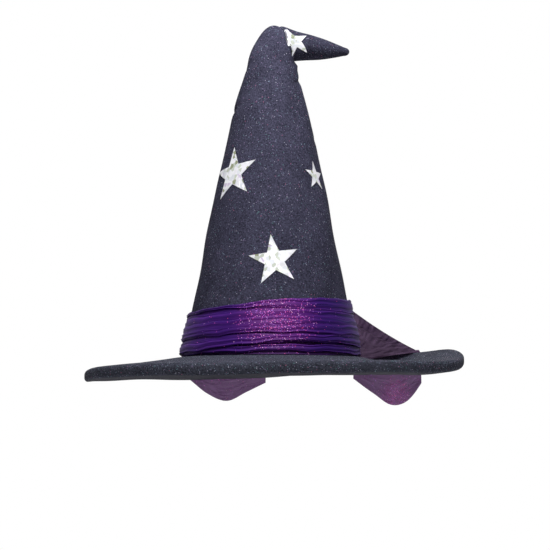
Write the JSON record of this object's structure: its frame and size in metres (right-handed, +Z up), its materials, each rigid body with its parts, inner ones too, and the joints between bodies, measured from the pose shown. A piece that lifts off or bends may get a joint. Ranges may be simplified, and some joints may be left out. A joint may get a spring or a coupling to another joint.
{
  "type": "witch hat",
  "caption": "Tall foam witch hat: an oval cone with a folded-over tip on a soft drooping brim, a sheer glitter scarf tied round the crown with trailing ends, and foil stars.",
  "frame": {"origin": "centre of the head opening, in the plane of the flat ring under the brim, where the head enters", "axes": "+Z up along the cone, -Y to the wearer's front, +X to the viewer's right from the front"},
  "size_m": [0.421, 0.4304, 0.4326],
  "materials": {
    "glitter_foam": "matte",
    "organza": "satin",
    "hologram_foil": "gloss",
    "lining_knit": "matte",
    "seam_tape": "matte",
    "label_satin": "satin"
  },
  "bodies": {
    "hat": {"crown_cone": "glitter_foam", "brim": "glitter_foam", "sweatband": "lining_knit", "crown_seam_tape": "seam_tape", "care_label": "label_satin", "scarf_lower_turn": "organza", "scarf_upper_turn": "organza", "scarf_knot": "organza", "scarf_tail_right": "organza", "scarf_tail_left": "organza", "star_front_low": "hologram_foil", "star_front_left": "hologram_foil", "star_front_right": "hologram_foil", "star_back_left": "hologram_foil", "star_back_right": "hologram_foil", "star_back_low": "hologram_foil"},
    "tip": {"crown_tip": "glitter_foam", "star_tip": "hologram_foil"},
    "tail_right_end": {"scarf_tail_right_end": "organza"},
    "tail_left_end": {"scarf_tail_left_end": "organza"}
  },
  "joints": [
    {"name": "tip_fold", "type": "hinge", "parent": "hat", "child": "tip", "pos_m": [0.0044, 0.0028, 0.3884], "axis": [0.5299, -0.848, 0], "range_deg": [0, 60], "stiffness_Nm_per_rad": 0.05},
    {"name": "tail_right_swing", "type": "hinge", "parent": "hat", "child": "tail_right_end", "pos_m": [0.149, 0.1568, 0.017], "axis": [0.734, -0.6724, 0.0962], "range_deg": [0, 80]},
    {"name": "tail_left_swing", "type": "hinge", "parent": "hat", "child": "tail_left_end", "pos_m": [-0.0549, 0.2058, 0.0006], "axis": [0.9571, 0.2884, 0.0292], "range_deg": [0, 80]}
  ]
}
